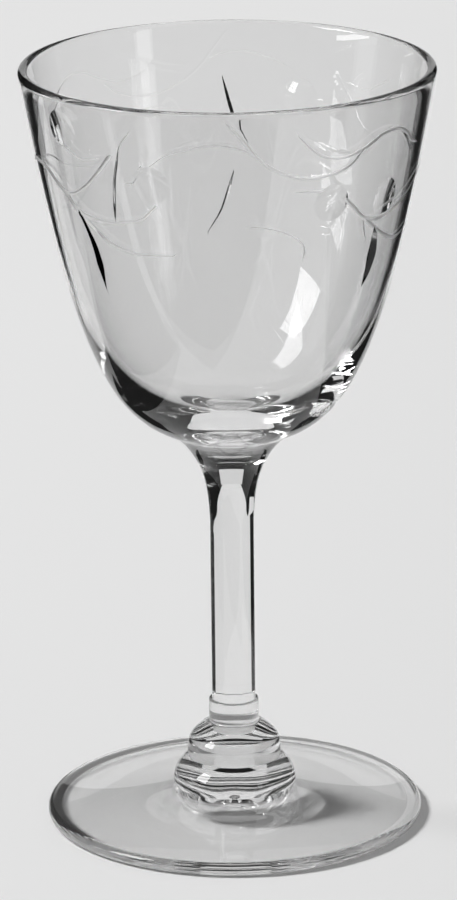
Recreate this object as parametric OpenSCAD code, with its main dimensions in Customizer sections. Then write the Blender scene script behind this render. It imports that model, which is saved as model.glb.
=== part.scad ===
// Liqueur glass of clear glass: a cut bowl with a round bottom, a panelled stem, a knop, a collar and a foot.
// The pieces are worked hot and fused, so each stands face to face on the flat seat of the one below it.
// The origin is the middle of the resting ring, and every piece is turned about the Z axis.

/* [Foot] */
// Diameter of the foot
foot_d = 49.8; // [40:0.1:60]
// Thickness of the foot's round edge
foot_edge_t = 1.9; // [1.4:0.1:3]
// Height of the flat seat in the middle of the foot
foot_seat_h = 4.4; // [3.8:0.1:7]
// How far the upper face dips below a straight cone
foot_dip = 0.35; // [0:0.05:0.6]
// Height of the hollow under the foot
foot_hollow_h = 2.4; // [0.6:0.1:2.6]
// Form of the hollow: 1 is a cone, and a larger value makes its middle flatter
hollow_form = 1.3; // [1.1:0.1:3]
// Width of the ground ring that the glass stands on
rest_ring_w = 1; // [0.8:0.1:3]

/* [Collar] */
// Diameter of the collar where it meets the foot
collar_d = 16.3; // [14:0.1:20]
// Height of the collar
collar_h = 3.7; // [2:0.1:6]

/* [Knop] */
// Diameter of the knop's band
knop_d = 12.4; // [10:0.1:13.5]
// Height of the whole knop, its neck included
knop_h = 7.9; // [7:0.1:11]
// Height of the band
knop_band_h = 1.9; // [1:0.1:2.4]
// How much the band narrows on each side
knop_band_draft = 0.1; // [0:0.05:0.3]
// Lean of the shoulder where it leaves the band, in degrees
shoulder_lean = 10; // [0:1:25]
// How long the shoulder holds that lean
shoulder_pull = 1.1; // [0.6:0.1:1.6]
// How far the shoulder's crown reaches out from the neck
shoulder_crown = 1.2; // [0.6:0.1:1.6]
// Diameter of the neck
neck_d = 6.6; // [6.4:0.1:8]
// Height of the neck
neck_h = 2.8; // [1.5:0.1:3.4]
// Radius of the hollow at the foot of the neck
neck_fillet = 0.45; // [0.2:0.05:0.7]
// Rounding of the neck's upper edge
neck_round = 0.25; // [0.1:0.05:0.4]

/* [Stem] */
// Height of the stem, its flared head included
stem_h = 37.2; // [25:0.1:60]
// Diameter of the stem over its corners
stem_d = 6.24; // [6:0.02:7]
// Width of the stem across two opposite panels
stem_flats = 5.84; // [5.6:0.02:5.96]
// Number of panels round the stem
panel_count = 8; // [6:1:10]
// Diameter of the wheel that grinds the panels and leaves their round upper ends
panel_wheel_d = 30; // [20:1:60]
// Height of the flared head
flare_h = 10.3; // [8:0.1:16]
// Diameter of the head, which carries the bowl
head_d = 16.8; // [15:0.1:19]
// How long the flare stays slender
flare_pull = 6; // [3:0.1:7]
// Lean of the flare and of the bowl where they run into each other, in degrees
seat_lean = 67; // [60:1:74]
// How far down the head holds that lean
head_pull = 1.7; // [1:0.1:3]

/* [Bowl] */
// Diameter of the rim
rim_d = 53.9; // [44:0.1:62]
// Height of the bowl
bowl_h = 48.8; // [42:0.1:60]
// Thickness of the wall at the rim
wall_t = 1.3; // [0.9:0.05:2]
// Thickness of the glass under the middle of the bowl
base_t = 2.2; // [1.6:0.1:5]
// Lean of the wall at the rim, in degrees
wall_lean = 9.8; // [4:0.1:14]
// How far down the wall holds that lean
wall_pull = 40; // [34:0.5:42]
// How far out the bowl holds the lean that it leaves the stem with
base_pull = 7.3; // [6:0.1:9]
// How far down the inside holds the lean of the wall
inside_pull = 36; // [30:0.5:38]
// How far out from the axis the inside stays flat
inside_flat = 17; // [14:0.1:18]

/* [Cutting] */
// Number of times the spray is cut round the bowl
spray_count = 2; // [1:1:2]
// Diameter of the wheel that grinds the dots
dot_wheel_d = 20; // [12:1:40]
// Depth of a dot
dot_depth = 0.35; // [0.1:0.05:0.5]
// Length of a broad leaf
leaf_l = 9.4; // [6:0.1:11]
// Width of a broad leaf at its middle
leaf_w = 1.5; // [0.8:0.1:2]
// Depth of a broad leaf
leaf_depth = 0.5; // [0.4:0.05:0.6]
// Length of a slender stroke
stroke_l = 9; // [6:0.1:10]
// Width of a slender stroke at its middle
stroke_w = 0.5; // [0.3:0.05:0.8]
// Depth of a slender stroke
stroke_depth = 0.4; // [0.35:0.05:0.5]

/* [Hidden] */

// Places of the cuts in one spray: the angle from the front, the drop below the rim, and a leaf's tilt
dots = [[-52.5, 4.3], [-23, 10], [31.5, 13], [53.5, 14]];
leaves = [[-48, 20.2, 14], [52, 21.7, -4]];
strokes = [[-34, 11, -10], [-2.5, 12, -22]];

// Steps along a curve and along a small arc
curve_steps = 36;
arc_steps = 10;
$fn = 144;

foot_r = foot_d / 2;
edge_r = foot_edge_t / 2;
hollow_r = foot_r - edge_r - rest_ring_w;
collar_r = collar_d / 2;
knop_r = knop_d / 2;
neck_r = neck_d / 2;
stem_r = stem_d / 2;
head_r = head_d / 2;
lip_r = wall_t / 2;

// Heights of the seats, each on top of the piece below it
collar_z = foot_seat_h;
knop_z = collar_z + collar_h;
stem_z = knop_z + knop_h;
bowl_z = stem_z + stem_h;

// Direction that leans outwards from the vertical by an angle
function leaning(angle) = [sin(angle), cos(angle)];

// Cubic curve from a to d that sets out towards b and comes in from c
function curve(a, b, c, d) = [
    for (i = [0:curve_steps])
        let (t = i / curve_steps, s = 1 - t)
        s * s * s * a + 3 * s * s * t * b + 3 * s * t * t * c + t * t * t * d
];

// Arc about a centre, without its first point, which the outline already holds
function arc(centre, r, from, to) = [
    for (i = [1:arc_steps])
        let (angle = from + (to - from) * i / arc_steps)
        centre + r * [cos(angle), sin(angle)]
];

module turned(outline, z = 0) {
    translate([0, 0, z])
        rotate_extrude()
            polygon(outline);
}

module glass() {
    color([0.86, 0.90, 0.91, 0.55])
        children();
}

// Disc with a round edge: its upper face rises to the collar's seat, and it is hollow inside the resting ring
function foot_outline() =
    let (
        seat = [collar_r, foot_seat_h],
        edge = [foot_r - edge_r, foot_edge_t],
        third = (edge - seat) / 3,
        dip = [0, -4 / 3 * foot_dip]
    )
    concat(
        [[0, foot_seat_h]],
        curve(seat, seat + third + dip, edge - third + dip, edge),
        arc([foot_r - edge_r, edge_r], edge_r, 90, -90),
        [
            for (i = [0:curve_steps])
                let (share = 1 - i / curve_steps)
                [hollow_r * share, foot_hollow_h * (1 - pow(share, hollow_form))]
        ]
    );

module foot() {
    glass() turned(foot_outline());
}

// Cushion-shaped ring: one arc, upright at the foot, up to the knop's band
function collar_outline() =
    let (
        spread = collar_r - knop_r,
        r = (spread * spread + collar_h * collar_h) / (2 * spread)
    )
    concat(
        [[0, 0], [collar_r, 0]],
        arc([collar_r - r, 0], r, 0, asin(collar_h / r)),
        [[0, collar_h]]
    );

module collar() {
    glass() turned(collar_outline(), collar_z);
}

// Bell-shaped knop: a band with a crease above it, a shoulder, and a short neck
function knop_outline() =
    let (
        fillet_end = 240,
        fillet_centre = [neck_r + neck_fillet, knop_h - neck_h],
        band_top = [knop_r - knop_band_draft, knop_band_h],
        shoulder_top = fillet_centre + neck_fillet * [cos(fillet_end), sin(fillet_end)],
        crown = shoulder_crown * [-sin(fillet_end), cos(fillet_end)]
    )
    concat(
        [[0, 0], [knop_r, 0]],
        curve(
            band_top,
            band_top + shoulder_pull * leaning(-shoulder_lean),
            shoulder_top + crown,
            shoulder_top
        ),
        arc(fillet_centre, neck_fillet, fillet_end, 180),
        [[neck_r, knop_h - neck_round]],
        arc([neck_r - neck_round, knop_h - neck_round], neck_round, 0, 90),
        [[0, knop_h]]
    );

module knop() {
    glass() turned(knop_outline(), knop_z);
}

// Round rod that flares into the head under the bowl
function stem_outline() =
    let (
        flare_foot = [stem_r, stem_h - flare_h],
        head = [head_r, stem_h]
    )
    concat(
        [[0, 0], [stem_r, 0]],
        curve(flare_foot, flare_foot + [0, flare_pull], head - head_pull * leaning(seat_lean), head),
        [[0, stem_h]]
    );

// Space that the wheel grinds away for one panel: flat along the stem, curved out at the foot of the flare
module panel_cut() {
    wheel_r = panel_wheel_d / 2;
    flat = stem_flats / 2;
    flat_end = stem_h - flare_h - wheel_r * sin(acos(1 - (stem_r - flat) / wheel_r));
    run_out = asin(flare_h / 2 / wheel_r);
    past = 1;
    profile = concat(
        [[head_r, -past], [flat, -past], [flat, flat_end]],
        arc([flat + wheel_r, flat_end], wheel_r, 180, 180 - run_out),
        [[head_r, flat_end + flare_h / 2]]
    );
    rotate([90, 0, 0])
        linear_extrude(height = head_d, center = true)
            polygon(profile);
}

module stem() {
    glass()
        translate([0, 0, stem_z])
            difference() {
                turned(stem_outline());
                for (i = [0:panel_count - 1])
                    rotate([0, 0, 360 / panel_count * i])
                        panel_cut();
            }
}

// Middle of the round lip, and the ways across the wall and down it there
lip = [rim_d / 2 - lip_r, bowl_h - lip_r];
across = [cos(wall_lean), -sin(wall_lean)];
down = -leaning(wall_lean);

// Outside of the bowl from the stem's head to the lip, and inside from the lip to the middle of the base
function bowl_wall() =
    let (
        seat = [head_r, 0],
        outer = lip + lip_r * across
    )
    curve(seat, seat + base_pull * leaning(seat_lean), outer + wall_pull * down, outer);

function bowl_inside() =
    let (inner = lip - lip_r * across)
    curve(inner, inner + inside_pull * down, [inside_flat, base_t], [0, base_t]);

// Wall that leans less and less towards the rim, with a round lip, and a heavier base on the stem's head
function bowl_outline() =
    concat(
        [[0, 0]],
        bowl_wall(),
        arc(lip, lip_r, -wall_lean, 180 - wall_lean),
        [for (i = [1:curve_steps]) bowl_inside()[i]]
    );

// Radius of the wall at a height above the bowl's seat, and its lean there
function wall_r(z) = lookup(z, [for (p = bowl_wall()) [p.y, p.x]]);
function lean_at(z) = atan2(wall_r(z + 1) - wall_r(z - 1), 2);

// Puts a cutting wheel on the wall, with X straight out of the glass and Z up the wall
module on_wall(angle, drop) {
    z = bowl_h - drop;
    rotate([0, 0, angle - 90])
        translate([wall_r(z), 0, z])
            rotate([0, lean_at(z), 0])
                children();
}

// Round hollow left by a ball-edged wheel
module dot_cut(angle, drop) {
    on_wall(angle, drop)
        translate([dot_wheel_d / 2 - dot_depth, 0, 0])
            sphere(d = dot_wheel_d);
}

// Pointed leaf left by a wheel with a mitred edge, which runs out of the glass at both ends
module leaf_cut(angle, drop, tilt, length, width, depth) {
    z = bowl_h - drop;
    bow = wall_r(z) - (wall_r(z + length / 2) + wall_r(z - length / 2)) / 2;
    wheel_r = length * length / 8 / (depth - bow);
    edge_h = 2 * depth;
    edge_w = width / depth * edge_h;
    on_wall(angle, drop)
        rotate([tilt, 0, 0])
            translate([wheel_r - depth, 0, 0])
                rotate([90, 0, 0])
                    rotate_extrude()
                        polygon([
                            [wheel_r - edge_h, -edge_w / 2],
                            [wheel_r, 0],
                            [wheel_r - edge_h, edge_w / 2]
                        ]);
}

// One spray, which takes half a turn of the bowl
module spray() {
    for (place = dots)
        dot_cut(place[0], place[1]);
    for (place = leaves)
        leaf_cut(place[0], place[1], place[2], leaf_l, leaf_w, leaf_depth);
    for (place = strokes)
        leaf_cut(place[0], place[1], place[2], stroke_l, stroke_w, stroke_depth);
}

module bowl() {
    glass()
        translate([0, 0, bowl_z])
            difference() {
                turned(bowl_outline());
                for (i = [0:spray_count - 1])
                    rotate([0, 0, 180 * i])
                        spray();
            }
}

foot();
collar();
knop();
stem();
bowl();
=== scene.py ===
import math

import bmesh
import bpy
import numpy as np
from mathutils import Matrix, Vector, geometry

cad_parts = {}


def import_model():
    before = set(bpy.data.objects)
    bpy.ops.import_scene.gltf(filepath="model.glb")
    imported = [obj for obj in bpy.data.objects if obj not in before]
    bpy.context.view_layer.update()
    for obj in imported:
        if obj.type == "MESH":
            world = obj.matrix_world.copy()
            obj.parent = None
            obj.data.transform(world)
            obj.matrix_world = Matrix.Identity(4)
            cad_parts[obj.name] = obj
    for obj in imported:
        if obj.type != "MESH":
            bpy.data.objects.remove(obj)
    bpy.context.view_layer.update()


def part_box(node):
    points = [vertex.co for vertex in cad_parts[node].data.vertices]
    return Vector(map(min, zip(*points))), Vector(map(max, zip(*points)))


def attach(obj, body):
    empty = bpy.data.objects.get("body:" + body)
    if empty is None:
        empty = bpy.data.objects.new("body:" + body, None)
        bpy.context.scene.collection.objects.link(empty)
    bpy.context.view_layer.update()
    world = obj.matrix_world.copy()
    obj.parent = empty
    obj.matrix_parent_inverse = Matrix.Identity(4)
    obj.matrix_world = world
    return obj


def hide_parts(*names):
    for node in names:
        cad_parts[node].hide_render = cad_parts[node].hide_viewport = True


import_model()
scene = bpy.context.scene
MM = 0.001

# Sizes of the glass in millimetres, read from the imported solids
_, foot_high = (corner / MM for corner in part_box("foot"))
_, collar_high = (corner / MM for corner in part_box("collar"))
knop_low, knop_high = (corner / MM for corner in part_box("knop"))
stem_low, stem_high = (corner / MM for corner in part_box("stem"))
bowl_low, bowl_high = (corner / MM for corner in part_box("bowl"))
FOOT_R, COLLAR_R, KNOP_R = foot_high.x, collar_high.x, knop_high.x
HEAD_R, RIM_R = stem_high.x, bowl_high.x
SEAT_Z, KNOP_Z, STEM_Z = foot_high.z, knop_low.z, stem_low.z
BOWL_Z, RIM_Z = bowl_low.z, bowl_high.z

# Sizes that a box doesn't tell, in millimetres and degrees, as in the solids
FOOT_EDGE, FOOT_DIP, FOOT_HOLLOW, HOLLOW_FORM, REST_RING = 1.9, 0.35, 2.4, 1.3, 1
BAND_H, BAND_DRAFT = 1.9, 0.1
SHOULDER_LEAN, SHOULDER_PULL, SHOULDER_CROWN, SHOULDER_END = 10, 1.1, 1.2, 240
NECK_R, NECK_H, NECK_FILLET, NECK_ROUND = 3.3, 2.8, 0.45, 0.25
STEM_R, STEM_FLAT, PANELS, WHEEL_R = 3.12, 2.92, 8, 15
FLARE_H, FLARE_PULL, HEAD_LEAN, HEAD_PULL = 10.3, 6, 67, 1.7
WALL, BASE, WALL_LEAN, WALL_PULL = 1.3, 2.2, 9.8, 40
BASE_PULL, INSIDE_PULL, INSIDE_FLAT = 7.3, 36, 17

# How far the stem's corners are softened, the radius of the flare above which it has no panels,
# and the sine up to which a panel follows the wheel
CORNER_SOFTNESS, ROUND_FLARE_R, WHEEL_REACH = 0.12, 4, 0.95

# Facets round the glass, and steps along a curve, a small arc, the bowl's wall and its lip
SIDES = 288
STEM_SIDES = 32 * PANELS
CURVE_STEPS = 64
ARC_STEPS = 16
WALL_STEPS = 64 * CURVE_STEPS
LIP_STEPS = 4

# A radius below the first is on the axis, in millimetres. Points closer than the weld are one, in
# metres, and faces that meet at more than the crease have an edge
ON_AXIS = 1e-6
WELD = 2e-7
CREASE = math.radians(13)

# Material slots of the pieces. The third is the foot's round edge or the bowl's polished cuts
GLASS, JOINT, EDGE, CUT, VINE = 0, 1, 2, 2, 3

# Spray cut into the bowl, which takes half a turn. Each line is a row of (angle from the front,
# drop below the rim, width), in degrees and millimetres
SEAM_DROP = 11.8
MAIN_STEM = [
    (-100, 13.2, 0.5), (-90, SEAM_DROP, 0.55), (-81.5, 11, 0.6), (-73, 10.5, 0.65),
    (-66, 10.9, 0.7), (-61, 12.2, 0.75), (-56, 13.5, 0.8), (-52, 15.1, 0.8), (-45.5, 15.8, 0.6),
    (-38.5, 15.9, 0.4), (-31.5, 15.3, 0.35), (-27, 14.8, 0.35), (-22.5, 13.1, 0.2),
]
LOW_BRANCH = [
    (-52, 15.1, 0.6), (-45.5, 17.1, 0.5), (-38.5, 18.8, 0.4), (-30.5, 19.6, 0.35),
    (-17.5, 19.4, 0.15),
]
LEFT_LEAF = [
    (-52, 15.1, 0.4), (-50, 16.4, 0.55), (-48.5, 17.8, 0.7), (-47.2, 19.2, 1), (-46, 22.2, 1.3),
    (-45.5, 25.4, 0.1),
]
RISING_TENDRIL = [
    (-57.5, 13.2, 0.35), (-54, 13.1, 0.3), (-47, 11.7, 0.3), (-40.5, 9.3, 0.4),
    (-35.5, 6.9, 0.55), (-34.7, 6.5, 0.1),
]
DOT_TENDRIL = [(-56.5, 5.7, 0.5), (-52, 6.8, 0.35), (-46.5, 7.8, 0.3), (-40, 7.3, 0.15)]
LEFT_STROKE = [
    (-31.8, 5.7, 0.1), (-32.8, 7.4, 0.35), (-34.1, 9.4, 0.42), (-35.6, 13.5, 0.4),
    (-36.2, 15.8, 0.1),
]
STROKE_TIP = [(-31.8, 5.7, 0.15), (-30.4, 4.5, 0.15), (-28.4, 3.5, 0.1)]
DOT_HOOK = [(-30.4, 10, 0.15), (-28.1, 9.9, 0.3), (-27.4, 9.1, 0.25), (-25.7, 7.7, 0.1)]
FRONT_ARC = [
    (-22.4, 7.4, 0.1), (-17.4, 5.8, 0.2), (-12.4, 5, 0.25), (-4.4, 4.2, 0.3), (3.6, 4.8, 0.3),
    (5.6, 5.2, 0.25),
]
FRONT_VINE = [
    (-0.4, 1.3, 0.1), (1.3, 2.2, 0.45), (4.4, 4, 0.5), (7.6, 5.8, 0.4), (14.6, 8.1, 0.4),
    (22.6, 9.3, 0.4), (30.6, 9.1, 0.38), (37.6, 8, 0.38), (40.6, 6.6, 0.25),
]
RIGHT_VINE = [
    (19.6, 3.5, 0.1), (22.1, 4.8, 0.25), (26.6, 6.3, 0.35), (33.6, 7.1, 0.4), (41.5, 6.3, 0.5),
    (48.5, 5, 0.5), (54.4, 4.9, 0.5), (60.3, 5.9, 0.55), (65.7, 7.6, 0.5), (69, 8.1, 0.15),
]
FRONT_STROKE = [
    (1.5, 7.6, 0.1), (0.5, 9.3, 0.35), (-0.6, 11.1, 0.45), (-2.1, 13, 0.45), (-4.1, 14.5, 0.35),
    (-6.2, 15.8, 0.1),
]
FAINT_TENDRIL = [
    (5.6, 15.2, 0.1), (11.6, 15.6, 0.18), (19.6, 17, 0.22), (23.1, 18.2, 0.25),
    (23.9, 19.3, 0.3), (23.6, 20.2, 0.1),
]
RIGHT_STEM = [
    (19.6, 10.9, 0.1), (27.6, 11.3, 0.5), (34, 12.1, 0.5), (39.5, 14, 0.5), (45.5, 16.1, 0.6),
    (52.5, 16.6, 0.6), (60.3, 16, 0.55), (69, 14.9, 0.5), (79, 13.1, 0.5), (90, SEAM_DROP, 0.55),
    (100, 10.9, 0.6),
]
RIGHT_BRANCH = [
    (45.5, 16.1, 0.55), (51.5, 18, 0.55), (59.3, 19.7, 0.5), (67, 20.6, 0.45), (76.5, 20, 0.25),
    (78.5, 19.8, 0.1),
]
RIGHT_LINE = [(45, 16.5, 0.3), (46.1, 17.8, 0.3), (47.5, 19.1, 0.1)]
RIGHT_LEAF = [
    (51.5, 17.8, 0.3), (52.1, 19.1, 1.3), (52.5, 21.7, 2.1), (51.7, 24.3, 1.2), (50.5, 25.8, 0.1),
]
VINES = [
    MAIN_STEM, LOW_BRANCH, RISING_TENDRIL, DOT_TENDRIL, STROKE_TIP, DOT_HOOK, FRONT_ARC,
    FRONT_VINE, RIGHT_VINE, FAINT_TENDRIL, RIGHT_STEM, RIGHT_BRANCH, RIGHT_LINE,
]
LEAVES = [LEFT_LEAF, LEFT_STROKE, FRONT_STROKE, RIGHT_LEAF]

# Round dots as (angle, drop), with their radius and depth
DOTS = [(-52.7, 4.3), (-22.9, 10), (31.6, 13), (53.8, 13.9)]
DOT_R, DOT_DEPTH = 2.45, 0.35

# Greatest depth of a line, slope of its sides, and the depth from which a face counts as cut
LINE_DEEPEST, VINE_SLOPE, LEAF_SLOPE, CUT_LEAST = 0.6, 0.22, 0.4, 0.004

# The spray is repeated on the back, where the photograph shows less of it. The vines are fainter
# there, and change to that over a distance from the sides
SPRAYS = 2
BACK_LEAVES, BACK_DOTS = [FRONT_STROKE], DOTS[1:2]
BACK_VINES, VINE_FADE = 0.5, 8

# The cut part of the wall runs between these drops below the rim
CUT_TOP, CUT_BOTTOM = 1, 28

# Spacing of the wall's points: on the plain wall, along a line, outside its edge, at the least,
# from the cuts to the plain wall, and from the cuts to the top, in millimetres
WALL_STEP, LINE_STEP, EDGE_GAP, CLOSEST = 0.9, 0.28, 0.09, 0.035
PLAIN_GAP, TOP_GAP = 2.5 * EDGE_GAP, 0.2

# Points of the flat wall closer than this are one, and the wall's lean is read over this height
ONE_POINT, LEAN_STEP = 1e-5, 0.1

# Fewest steps of a line, half steps to each side of the vine on a seam and their points there,
# rings of a dot as shares of its radius, points of its outer ring, and fewest points of a ring
LINE_LEAST, SEAM_STEPS, SEAM_POINTS = 4, 5, 41
DOT_RINGS = (0.15, 0.3, 0.45, 0.6, 0.75, 0.88, 1, 1 + EDGE_GAP / DOT_R)
RING_POINTS, RING_LEAST = 60, 12


def leaning(angle):
    return np.array([math.sin(math.radians(angle)), math.cos(math.radians(angle))])


def curve(a, b, c, d, steps=CURVE_STEPS):
    a, b, c, d = (np.array(p, float) for p in (a, b, c, d))
    t = np.linspace(0, 1, steps + 1)[:, None]
    s = 1 - t
    return s**3 * a + 3 * s * s * t * b + 3 * s * t * t * c + t**3 * d


def arc(centre, r, start, end, steps=ARC_STEPS):
    angle = np.radians(np.linspace(start, end, steps + 1))
    return np.array(centre, float) + r * np.c_[np.cos(angle), np.sin(angle)]


def disc(r, z, outwards):
    ends = np.array([[0, z], [r, z]], float)
    return ends if outwards else ends[::-1]


# Mesh parts are (points in millimetres, faces, slot of each face)


def turned(runs, sides=SIDES, reach=None):
    """Turns runs of (outline, slot) about the axis.

    reach(r, z, angles) gives a radius that changes round the ring.
    """
    angles = np.arange(sides) * 2 * math.pi / sides - math.pi / 2
    points, faces, slots = [], [], []
    below = None
    for outline, slot in runs:
        for step, (r, z) in enumerate(outline):
            start = len(points)
            if r < ON_AXIS:
                ring = np.full(sides, start)
                points.append((0, 0, z))
            else:
                ring = np.arange(start, start + sides)
                radius = np.full(sides, r) if reach is None else reach(r, z, angles)
                x, y = radius * np.cos(angles), radius * np.sin(angles)
                points.extend(np.c_[x, y, np.full(sides, z)])
            if step > 0:
                corners = np.c_[below, np.roll(below, -1), np.roll(ring, -1), ring]
                faces.extend(list(dict.fromkeys(corner)) for corner in corners.tolist())
                slots.extend([slot] * sides)
            below = ring
    return np.array(points), faces, slots


def piece(name, parts, materials, node):
    """Welds the parts into one closed mesh, marks its creases, and lets it stand for a CAD node."""
    points = np.vstack([part[0] for part in parts]) * MM
    faces, slots, offset = [], [], 0
    for part_points, part_faces, part_slots in parts:
        faces.extend([offset + i for i in face] for face in part_faces)
        slots.extend(part_slots)
        offset += len(part_points)
    mesh = bpy.data.meshes.new(name)
    mesh.from_pydata(points.tolist(), [], faces)
    for material in materials:
        mesh.materials.append(material)
    mesh.polygons.foreach_set("material_index", slots)
    work = bmesh.new()
    work.from_mesh(mesh)
    bmesh.ops.remove_doubles(work, verts=work.verts, dist=WELD)
    for face in work.faces:
        face.smooth = True
    for edge in work.edges:
        edge.smooth = len(edge.link_faces) == 2 and edge.calc_face_angle() < CREASE
    open_edges = sum(len(edge.link_faces) != 2 for edge in work.edges)
    work.to_mesh(mesh)
    work.free()
    if open_edges:
        raise ValueError(f"{name} has {open_edges} open edges")
    thing = bpy.data.objects.new(name, mesh)
    scene.collection.objects.link(thing)
    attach(thing, "root")
    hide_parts(node)


# Outlines of the turned pieces, each from its lower middle round to its upper middle


def foot_runs():
    edge_r = FOOT_EDGE / 2
    hollow_r = FOOT_R - edge_r - REST_RING
    share = np.linspace(0, 1, CURVE_STEPS + 1)
    hollow = np.c_[hollow_r * share, FOOT_HOLLOW * (1 - share**HOLLOW_FORM)]
    seat, edge = np.array([COLLAR_R, SEAT_Z]), np.array([FOOT_R - edge_r, FOOT_EDGE])
    third, dip = (seat - edge) / 3, np.array([0, -4 / 3 * FOOT_DIP])
    return [
        (hollow, GLASS),
        ([[hollow_r, 0], [FOOT_R - edge_r, 0]], GLASS),
        (arc([FOOT_R - edge_r, edge_r], edge_r, -90, 90), EDGE),
        (curve(edge, edge + third + dip, seat - third + dip, seat), GLASS),
        (disc(COLLAR_R, SEAT_Z, False), JOINT),
    ]


def collar_runs():
    spread, height = COLLAR_R - KNOP_R, KNOP_Z - SEAT_Z
    r = (spread**2 + height**2) / (2 * spread)
    top = math.degrees(math.asin(height / r))
    return [
        (disc(COLLAR_R, SEAT_Z, True), JOINT),
        (arc([COLLAR_R - r, SEAT_Z], r, 0, top, CURVE_STEPS), GLASS),
        (disc(KNOP_R, KNOP_Z, False), JOINT),
    ]


def knop_runs():
    end = math.radians(SHOULDER_END)
    towards = np.array([math.cos(end), math.sin(end)])
    fillet = np.array([NECK_R + NECK_FILLET, STEM_Z - NECK_H])
    band_top = np.array([KNOP_R - BAND_DRAFT, KNOP_Z + BAND_H])
    pulled = band_top + SHOULDER_PULL * leaning(-SHOULDER_LEAN)
    shoulder_top = fillet + NECK_FILLET * towards
    crown = shoulder_top + SHOULDER_CROWN * np.array([-towards[1], towards[0]])
    lip = STEM_Z - NECK_ROUND
    return [
        (disc(KNOP_R, KNOP_Z, True), JOINT),
        ([[KNOP_R, KNOP_Z], band_top], GLASS),
        (curve(band_top, pulled, crown, shoulder_top), GLASS),
        (arc(fillet, NECK_FILLET, SHOULDER_END, 180), GLASS),
        ([[NECK_R, STEM_Z - NECK_H], [NECK_R, lip]], GLASS),
        (arc([NECK_R - NECK_ROUND, lip], NECK_ROUND, 0, 90), GLASS),
        ([[NECK_R - NECK_ROUND, STEM_Z], [STEM_FLAT, STEM_Z]], GLASS),
        (disc(STEM_FLAT, STEM_Z, False), JOINT),
    ]


def stem_runs():
    flare = np.array([STEM_R, BOWL_Z - FLARE_H])
    head = np.array([HEAD_R, BOWL_Z])
    shank = np.linspace([STEM_R, STEM_Z], flare, CURVE_STEPS // 2)
    pulled = head - HEAD_PULL * leaning(HEAD_LEAN)
    return [
        (disc(STEM_R, STEM_Z, True), JOINT),
        (shank, GLASS),
        (curve(flare, flare + [0, FLARE_PULL], pulled, head), GLASS),
        (disc(HEAD_R, BOWL_Z, False), JOINT),
    ]


def panelled(r, z, angles):
    """Radius of the stem round one ring.

    The panels are flat up to the flare, where the wheel curves out of the glass.
    """
    if r >= ROUND_FLARE_R:
        return np.full_like(angles, r)
    rise = WHEEL_R * math.sin(math.acos(1 - (STEM_R - STEM_FLAT) / WHEEL_R))
    flat_end = BOWL_Z - FLARE_H - rise
    above = min(max(z - flat_end, 0) / WHEEL_R, WHEEL_REACH)
    panel_r = STEM_FLAT + WHEEL_R * (1 - math.cos(math.asin(above)))
    sector = 2 * math.pi / PANELS
    across = (angles + sector / 2) % sector - sector / 2
    ground = np.exp(-panel_r / np.cos(across) / CORNER_SOFTNESS)
    return -CORNER_SOFTNESS * np.log(ground + math.exp(-r / CORNER_SOFTNESS))


ACROSS = np.array([math.cos(math.radians(WALL_LEAN)), -math.sin(math.radians(WALL_LEAN))])
DOWN = -leaning(WALL_LEAN)
LIP = np.array([RIM_R - WALL / 2, RIM_Z - WALL / 2])
OUTER, INNER = LIP + WALL / 2 * ACROSS, LIP - WALL / 2 * ACROSS
BOWL_SEAT = np.array([HEAD_R, BOWL_Z])
BOWL_TURN = BOWL_SEAT + BASE_PULL * leaning(HEAD_LEAN)
WALL_CURVE = curve(BOWL_SEAT, BOWL_TURN, OUTER + WALL_PULL * DOWN, OUTER, WALL_STEPS)


def wall_r(z):
    """Radius of the bowl's outside at a height."""
    return np.interp(z, WALL_CURVE[:, 1], WALL_CURVE[:, 0])


def wall_between(low, high, steps):
    """Outline of the bowl's outside between two heights."""
    along = np.linspace(0, 1, len(WALL_CURVE))
    ends = np.interp([low, high], WALL_CURVE[:, 1], along)
    z = np.interp(np.linspace(*ends, steps + 1), along, WALL_CURVE[:, 1])
    z[0], z[-1] = low, high
    return np.c_[wall_r(z), z]


def bowl_runs():
    bottom = np.array([0, BOWL_Z + BASE])
    lower = [
        (disc(HEAD_R, BOWL_Z, True), JOINT),
        (wall_between(BOWL_Z, RIM_Z - CUT_BOTTOM, CURVE_STEPS), GLASS),
    ]
    upper = [
        (wall_between(RIM_Z - CUT_TOP, OUTER[1], LIP_STEPS), GLASS),
        (arc(LIP, WALL / 2, -WALL_LEAN, 180 - WALL_LEAN), GLASS),
        (curve(INNER, INNER + INSIDE_PULL * DOWN, [INSIDE_FLAT, bottom[1]], bottom), GLASS),
    ]
    return lower, upper


# The cut wall is laid out flat, with x along the wall and y up it, from the rim, in millimetres

SPRAY_R = float(wall_r(RIM_Z - (CUT_TOP + CUT_BOTTOM) / 2))
HALF_TURN = math.pi * SPRAY_R


def flat(angle, drop):
    return math.radians(angle) * SPRAY_R, -drop


def smooth_line(stations):
    """Smooth line through the given stations, as rows of x, y and half width at even steps."""
    knots = np.array([(*flat(angle, drop), width / 2) for angle, drop, width in stations])
    spans = np.hypot(*np.diff(knots[:, :2], axis=0).T)
    along = np.r_[0, np.cumsum(spans)]
    rates = np.gradient(knots, along, axis=0)
    where = np.linspace(0, along[-1], max(LINE_LEAST, round(along[-1] / LINE_STEP)) + 1)
    span = np.clip(np.searchsorted(along, where, "right") - 1, 0, len(spans) - 1)
    t = ((where - along[span]) / spans[span])[:, None]
    a, b, reach = knots[span], knots[span + 1], spans[span][:, None]
    line = (2 * t**3 - 3 * t**2 + 1) * a + (t**3 - 2 * t**2 + t) * reach * rates[span]
    line += (3 * t**2 - 2 * t**3) * b + (t**3 - t**2) * reach * rates[span + 1]
    line[:, 2] = np.interp(where, along, knots[:, 2])
    return line


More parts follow.
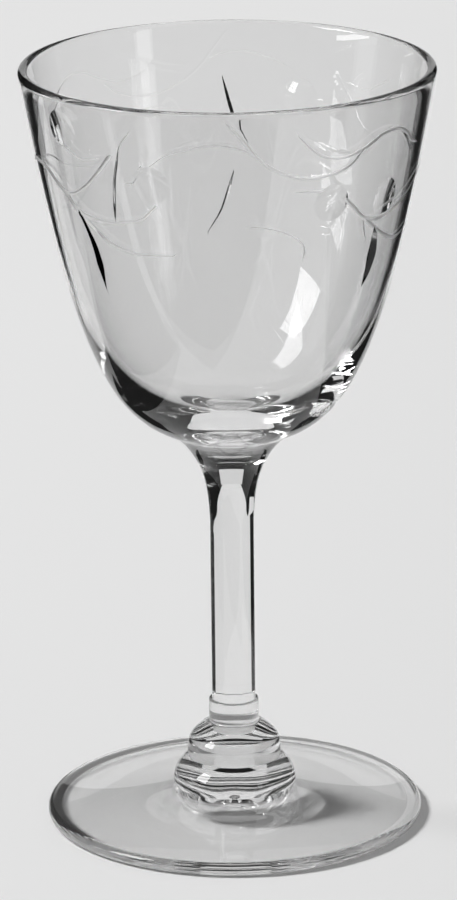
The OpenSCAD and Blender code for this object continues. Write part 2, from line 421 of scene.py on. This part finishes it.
def line_depth(points, line, slope):
    """Depth of a mitred line under each point: its two sides slope to the middle."""
    deepest = np.zeros(len(points))
    for start, end in zip(line[:-1], line[1:]):
        along = end[:2] - start[:2]
        share = np.clip((points - start[:2]) @ along / (along @ along), 0, 1)
        half = start[2] + share * (end[2] - start[2])
        away = np.hypot(*(points - start[:2] - share[:, None] * along).T)
        depth = LINE_DEEPEST * (1 - np.exp(-2 * half * slope / LINE_DEEPEST))
        deepest = np.maximum(deepest, depth * (1 - away / half))
    return deepest


def vine_depth(points, vines):
    return np.max([line_depth(points, vine, VINE_SLOPE) for vine in vines], axis=0)


def polished_depth(points, leaves, dots):
    depth = np.max([line_depth(points, smooth_line(leaf), LEAF_SLOPE) for leaf in leaves], axis=0)
    for dot in dots:
        away = np.hypot(*(points - flat(*dot)).T) / DOT_R
        depth = np.maximum(depth, DOT_DEPTH * (1 - away**2))
    return depth


def line_points(line):
    """Rows of points down the middle of a line, on its sides and edges, and just outside it."""
    heading = np.gradient(line[:, :2], axis=0)
    side = np.c_[-heading[:, 1], heading[:, 0]] / np.hypot(*heading.T)[:, None]
    rows = [line[:, :2] + share * line[:, 2:] * side for share in (0, -0.5, 0.5, -1, 1)]
    rows += [line[:, :2] + sign * (line[:, 2:] + EDGE_GAP) * side for sign in (-1, 1)]
    return np.vstack(rows)


def dot_points(dot):
    """Middle of a dot, and rings of points out to just outside its edge."""
    rings = [np.array([flat(*dot)])]
    for share in DOT_RINGS:
        count = max(RING_LEAST, round(RING_POINTS * share))
        angle = np.arange(count) * 2 * math.pi / count
        rings.append(flat(*dot) + share * DOT_R * np.c_[np.cos(angle), np.sin(angle)])
    return np.vstack(rings)


def spaced(points, gap):
    """Points in turn, without those closer than the gap to one already kept."""
    kept, cells = [], {}
    for point in points:
        column, row = (int(c // gap) for c in point)
        near = [cells.get((column + i, row + j)) for i in (-1, 0, 1) for j in (-1, 0, 1)]
        if all(other is None or math.dist(point, other) >= gap for other in near):
            cells[column, row] = point
            kept.append(point)
    return np.array(kept)


def cut_wall():
    """One spray's half turn of the bowl's outside, laid flat, with the depth of its vines."""
    vines = [smooth_line(stations) for stations in VINES]
    leaves = [smooth_line(stations) for stations in LEAVES]
    columns = np.linspace(-HALF_TURN / 2, HALF_TURN / 2, SIDES // SPRAYS + 1)
    rows = np.linspace(-CUT_BOTTOM, -CUT_TOP, round((CUT_BOTTOM - CUT_TOP) / WALL_STEP) + 1)
    sides = columns[[0, -1]]
    fine = -SEAM_DROP + np.linspace(-SEAM_STEPS, SEAM_STEPS, SEAM_POINTS) * LINE_STEP / 2
    seam_rows = np.union1d(np.round(rows, 6), np.round(fine, 6))
    seams = [np.c_[np.full_like(seam_rows, x), seam_rows] for x in sides]
    borders = [np.c_[columns[1:-1], np.full(len(columns) - 2, y)] for y in rows[[0, -1]]]
    cuts = np.vstack(
        [line_points(line) for line in vines + leaves] + [dot_points(dot) for dot in DOTS]
    )
    off_seams = np.abs(cuts[:, 0]) < HALF_TURN / 2 - LINE_STEP / 3
    cuts = cuts[off_seams & (cuts[:, 1] < -CUT_TOP - TOP_GAP)]
    grid = np.array([(x, y) for x in columns[1:-1] for y in rows[1:-1]])
    plain = np.array([np.min(np.hypot(*(cuts - point).T)) > PLAIN_GAP for point in grid])
    points = np.vstack(seams + borders + [spaced(cuts, CLOSEST), grid[plain]])
    joined = geometry.delaunay_2d_cdt([Vector(p) for p in points], [], [], 0, ONE_POINT)
    flat_points, triangles = np.array(joined[0]), [list(t) for t in joined[2]]
    engraved = vine_depth(flat_points, vines)
    left, right = (np.flatnonzero(np.abs(flat_points[:, 0] - x) < CLOSEST / 2) for x in sides)
    left, right = (seam[np.argsort(flat_points[seam, 1])] for seam in (left, right))
    engraved[right] = engraved[left]
    return flat_points, engraved, triangles


def finish(triangle, engraved, polished, vine):
    """Slot of a face of the wall."""
    if max(engraved[triangle].max(), polished[triangle].max()) < CUT_LEAST:
        return GLASS
    return vine if engraved[triangle].max() > polished[triangle].max() else CUT


def round_wall(flat_points, depth, turn):
    """Bends the flat wall round the bowl and sinks it to its depth."""
    angle = flat_points[:, 0] / SPRAY_R + turn
    z = RIM_Z + flat_points[:, 1]
    lean = np.arctan2(wall_r(z + LEAN_STEP) - wall_r(z - LEAN_STEP), 2 * LEAN_STEP)
    r = wall_r(z) - depth * np.cos(lean)
    return np.c_[r * np.sin(angle), -r * np.cos(angle), z + depth * np.sin(lean)]


def bowl_parts():
    flat_points, engraved, triangles = cut_wall()
    behind = np.clip((HALF_TURN / 2 - np.abs(flat_points[:, 0])) / VINE_FADE, 0, 1)
    parts = [turned(runs) for runs in bowl_runs()]
    halves = [(1, VINE, LEAVES, DOTS), (BACK_VINES, CUT, BACK_LEAVES, BACK_DOTS)]
    for turn, (faintness, vine, leaves, dots) in enumerate(halves):
        polished = polished_depth(flat_points, leaves, dots)
        depth = np.maximum(engraved * (1 - (1 - faintness) * behind), polished)
        wall = round_wall(flat_points, depth, turn * math.pi)
        slots = [finish(t, engraved, polished, vine) for t in triangles]
        parts.append((wall, triangles, slots))
    return parts


# Materials: how much light the glass keeps, how it bends it, and the faint ripple of its surface

GLASS_TINT, GLASS_IOR = 0.93, 1.52
RIPPLE_SCALE, RIPPLE_DETAIL, RIPPLE_STRENGTH, RIPPLE_DEPTH = 90, 2, 0.05, 0.0002


def grey(level):
    return level, level, level, 1


def node_material(name):
    material = bpy.data.materials.new(name)
    material.use_nodes = True
    material.node_tree.nodes.clear()
    return material, material.node_tree.nodes, material.node_tree.links


def glass_material(name, roughness, shade, clearness=1.0):
    """Clear glass with a faint ripple. Each face lets a share of the light into its shadow."""
    material, nodes, links = node_material(name)
    output = nodes.new("ShaderNodeOutputMaterial")
    mix = nodes.new("ShaderNodeMixShader")
    path = nodes.new("ShaderNodeLightPath")
    clear = nodes.new("ShaderNodeBsdfTransparent")
    clear.inputs["Color"].default_value = grey(shade)
    glass = nodes.new("ShaderNodeBsdfPrincipled")
    glass.inputs["Base Color"].default_value = grey(GLASS_TINT)
    glass.inputs["Transmission Weight"].default_value = clearness
    glass.inputs["IOR"].default_value = GLASS_IOR
    glass.inputs["Roughness"].default_value = roughness
    where = nodes.new("ShaderNodeTexCoord")
    noise = nodes.new("ShaderNodeTexNoise")
    noise.inputs["Scale"].default_value = RIPPLE_SCALE
    noise.inputs["Detail"].default_value = RIPPLE_DETAIL
    bump = nodes.new("ShaderNodeBump")
    bump.inputs["Strength"].default_value = RIPPLE_STRENGTH
    bump.inputs["Distance"].default_value = RIPPLE_DEPTH
    links.new(where.outputs["Object"], noise.inputs["Vector"])
    links.new(noise.outputs["Fac"], bump.inputs["Height"])
    links.new(bump.outputs["Normal"], glass.inputs["Normal"])
    links.new(path.outputs["Is Shadow Ray"], mix.inputs["Fac"])
    links.new(glass.outputs["BSDF"], mix.inputs[1])
    links.new(clear.outputs["BSDF"], mix.inputs[2])
    links.new(mix.outputs["Shader"], output.inputs["Surface"])
    return material


def joint_material():
    """Face where two pieces are fused. The glass goes on, so light passes straight through."""
    material, nodes, links = node_material("fused_joint")
    output = nodes.new("ShaderNodeOutputMaterial")
    clear = nodes.new("ShaderNodeBsdfTransparent")
    links.new(clear.outputs["BSDF"], output.inputs["Surface"])
    return material


clear_glass = glass_material("clear_glass", roughness=0.0, shade=0.92)
foot_glass = glass_material("foot_glass", roughness=0.0, shade=0.97)
solid_glass = glass_material("solid_glass", roughness=0.0, shade=0.12)
cut_glass = glass_material("cut_glass", roughness=0.04, shade=0.92)
vine_glass = glass_material("vine_glass", roughness=0.3, shade=0.92, clearness=0.75)
fused_joint = joint_material()
foot_finishes = [foot_glass, fused_joint, solid_glass]
solid_finishes = [solid_glass, fused_joint]
stem_finishes = [clear_glass, fused_joint]
bowl_finishes = [clear_glass, fused_joint, cut_glass, vine_glass]

piece("foot_glass", [turned(foot_runs())], foot_finishes, "foot")
piece("collar_glass", [turned(collar_runs())], solid_finishes, "collar")
piece("knop_glass", [turned(knop_runs())], solid_finishes, "knop")
piece("stem_glass", [turned(stem_runs(), STEM_SIDES, panelled)], stem_finishes, "stem")
piece("bowl_glass", bowl_parts(), bowl_finishes, "bowl")


# Stage: a pale floor, a lamp that lights it, and the windows and black flags of a studio, which
# only the glass sees. Sizes are in metres and angles in degrees, round the middle of the room

ROOM_MIDDLE = Vector((0, 0, 0.06))
PALE, AMBIENT, DARK = 0.77, 0.28, 0.012

# The paper's colour, half its width, and where it starts and ends to run out into the background
PAPER, FLOOR_HALF, FADE_START, FADE_END = 0.82, 30.0, 0.2, 0.7

# Angle between the points of a card, and the cloths' reach, height and distance from the glass
CARD_STEP = 3
CLOTH_REACH, CLOTH_LIFT, CLOTH_START = 8.0, 0.0004, 0.05


def stage_piece(name, points, faces, material):
    mesh = bpy.data.meshes.new(name)
    mesh.from_pydata(points, [], faces)
    mesh.materials.append(material)
    thing = bpy.data.objects.new(name, mesh)
    scene.collection.objects.link(thing)
    return thing


def floor():
    """Pale paper, which runs out into an even background away from the glass."""
    material, nodes, links = node_material("pale_floor")
    output = nodes.new("ShaderNodeOutputMaterial")
    mix = nodes.new("ShaderNodeMixShader")
    paper = nodes.new("ShaderNodeBsdfDiffuse")
    paper.inputs["Color"].default_value = grey(PAPER)
    even = nodes.new("ShaderNodeEmission")
    even.inputs["Color"].default_value = grey(PALE)
    where = nodes.new("ShaderNodeTexCoord")
    away = nodes.new("ShaderNodeVectorMath")
    away.operation = "LENGTH"
    fade = nodes.new("ShaderNodeMapRange")
    fade.interpolation_type = "SMOOTHSTEP"
    fade.inputs["From Min"].default_value = FADE_START
    fade.inputs["From Max"].default_value = FADE_END
    links.new(where.outputs["Object"], away.inputs[0])
    links.new(away.outputs["Value"], fade.inputs["Value"])
    links.new(fade.outputs["Result"], mix.inputs["Fac"])
    links.new(paper.outputs["BSDF"], mix.inputs[1])
    links.new(even.outputs["Emission"], mix.inputs[2])
    links.new(mix.outputs["Shader"], output.inputs["Surface"])
    signs = ((-1, -1), (1, -1), (1, 1), (-1, 1))
    corners = [(x * FLOOR_HALF, y * FLOOR_HALF, 0) for x, y in signs]
    stage_piece("floor", corners, [(0, 1, 2, 3)], material)


def seen_by_glass(name, points, faces, brightness):
    """Card or cloth of the studio that only the glass mirrors or shows.

    To light from the floor it is as bright as the room.
    """
    material, nodes, links = node_material(name)
    output = nodes.new("ShaderNodeOutputMaterial")
    shine = nodes.new("ShaderNodeEmission")
    path = nodes.new("ShaderNodeLightPath")
    level = nodes.new("ShaderNodeMapRange")
    level.inputs["To Min"].default_value = brightness
    level.inputs["To Max"].default_value = AMBIENT
    links.new(path.outputs["Diffuse Depth"], level.inputs["Value"])
    links.new(level.outputs["Result"], shine.inputs["Strength"])
    links.new(shine.outputs["Emission"], output.inputs["Surface"])
    thing = stage_piece(name, points, faces, material)
    thing.visible_camera = False
    thing.visible_diffuse = False
    thing.visible_shadow = False


def direction(azimuth, elevation):
    """Way out from the middle of the room, from angles in radians."""
    level = math.cos(elevation)
    return Vector((math.cos(azimuth) * level, math.sin(azimuth) * level, math.sin(elevation)))


def even_angles(start, end):
    steps = max(1, math.ceil((end - start) / CARD_STEP))
    return np.radians(np.linspace(start, end, steps + 1))


def card(name, azimuth, elevation, distance, brightness):
    """Curved card round the glass, between two azimuths and two elevations."""
    across, up = even_angles(*azimuth), even_angles(*elevation)
    points = [ROOM_MIDDLE + distance * direction(a, e) for e in up for a in across]
    wide = len(across)
    starts = [row * wide + i for row in range(len(up) - 1) for i in range(wide - 1)]
    faces = [(i, i + 1, i + wide + 1, i + wide) for i in starts]
    seen_by_glass(name, points, faces, brightness)


def cloths(strips):
    """Dark cloths on the floor, which leave strips of paper bare.

    Each strip has an azimuth, a half width at the glass, the angle by which each side spreads, and
    where it starts and ends.
    """
    points, faces = [], []

    def along(azimuth, ahead, aside):
        a = math.radians(azimuth)
        x = ahead * math.cos(a) - aside * math.sin(a)
        y = ahead * math.sin(a) + aside * math.cos(a)
        return x, y, CLOTH_LIFT

    def lay(*corners):
        faces.append(tuple(range(len(points), len(points) + len(corners))))
        points.extend(corners)

    def cover(azimuth, half, near, far):
        corners = ((near, half), (near, -half), (far, -half), (far, half))
        lay(*(along(azimuth, *corner) for corner in corners))

    for strip, following in zip(strips, strips[1:] + strips[:1]):
        first, half, spread, start, end = strip
        second, next_half, next_spread = following[:3]
        left, right = first + spread, second - next_spread
        turn = math.radians((right - left) % 360)
        ahead = (next_half + half * math.cos(turn)) / math.sin(turn)
        lay(
            along(left, ahead, half),
            along(left, CLOTH_REACH, half),
            along(right, CLOTH_REACH, -next_half),
        )
        if start > 0:
            cover(first, half, CLOTH_START, start)
        if end < CLOTH_REACH:
            cover(first, half, end, CLOTH_REACH)
    seen_by_glass("cloths", points, faces, DARK)


def lamp(name, azimuth, elevation, distance, width, height, power):
    """Soft lamp that lights the floor. The glass sees the window's card in its place."""
    data = bpy.data.lights.new(name, "AREA")
    data.shape = "RECTANGLE"
    data.size, data.size_y = width, height
    data.energy = power
    thing = bpy.data.objects.new(name, data)
    way = direction(math.radians(azimuth), math.radians(elevation))
    thing.location = ROOM_MIDDLE + distance * way
    thing.rotation_euler = (-way).to_track_quat("-Z", "Y").to_euler()
    thing.visible_camera = False
    thing.visible_glossy = False
    thing.visible_transmission = False
    scene.collection.objects.link(thing)


def world():
    """Pale background for the camera and the glass, and a softer, even light for the floor."""
    made = bpy.data.worlds.new("studio")
    scene.world = made
    made.use_nodes = True
    nodes, links = made.node_tree.nodes, made.node_tree.links
    background = nodes["Background"]
    background.inputs["Color"].default_value = grey(1)
    path = nodes.new("ShaderNodeLightPath")
    level = nodes.new("ShaderNodeMapRange")
    level.inputs["To Min"].default_value = PALE
    level.inputs["To Max"].default_value = AMBIENT
    links.new(path.outputs["Diffuse Depth"], level.inputs["Value"])
    links.new(level.outputs["Result"], background.inputs["Strength"])


floor()
world()
lamp("window_lamp", 170, 48, 3.0, 0.67, 0.67, 80)
card("window", (186, 210), (18, 44), 1.0, 10)
card("low_window", (178, 202), (7.2, 9.2), 1.0, 6)
card("front_window", (315, 325), (5, 20), 1.0, 1.5)
card("back_glow", (60, 120), (36, 68), 1.2, 0.65)
card("backdrop", (74, 106), (-1, 17), 3.0, 0.68)
card("tent", (0, 360), (17, 90), 4.0, DARK)
card("tent_back_left", (105, 172), (-2, 17), 4.0, DARK)
card("tent_front", (188, 435), (-2, 17), 4.0, DARK)
card("low_flag_right", (38, 58), (-51.9, -33), 0.0762, DARK)
card("low_flag_left", (122, 142), (-51.9, -28), 0.0762, DARK)
cloths([
    (90, 0.045, 13, 0, 8),
    (137, 0.048, 0, 0, 0.27),
    (180, 0.06, 5, 0.25, 8),
    (315, 0.055, 0, 0, 0.6),
])

# Camera fitted to the ellipses of the rim and the foot
IMAGE_HEIGHT = 900
FOCAL_PIXELS = 5503
SENSOR = 36
CLIP_START, CLIP_END = 0.01, 100
CAMERA_PLACE = Vector((0, -689.4, 262.2)) * MM
CAMERA_TARGET = Vector((-0.35, 0, 50.26)) * MM
CAMERA_ROLL = math.radians(-0.608)


def camera():
    data = bpy.data.cameras.new("camera")
    data.sensor_width = SENSOR
    data.lens = FOCAL_PIXELS * SENSOR / IMAGE_HEIGHT
    data.clip_start, data.clip_end = CLIP_START, CLIP_END
    thing = bpy.data.objects.new("camera", data)
    ahead = (CAMERA_TARGET - CAMERA_PLACE).normalized()
    upright = ahead.to_track_quat("-Z", "Y").to_matrix().to_4x4()
    rolled = upright @ Matrix.Rotation(CAMERA_ROLL, 4, "Z")
    thing.matrix_world = Matrix.Translation(CAMERA_PLACE) @ rolled
    scene.collection.objects.link(thing)
    scene.camera = thing


camera()
scene.view_settings.view_transform = "Standard"

# Light crosses many faces of the glass
BOUNCES = 32
scene.cycles.transparent_max_bounces = BOUNCES
scene.cycles.transmission_bounces = BOUNCES
scene.cycles.glossy_bounces = BOUNCES
scene.cycles.max_bounces = BOUNCES
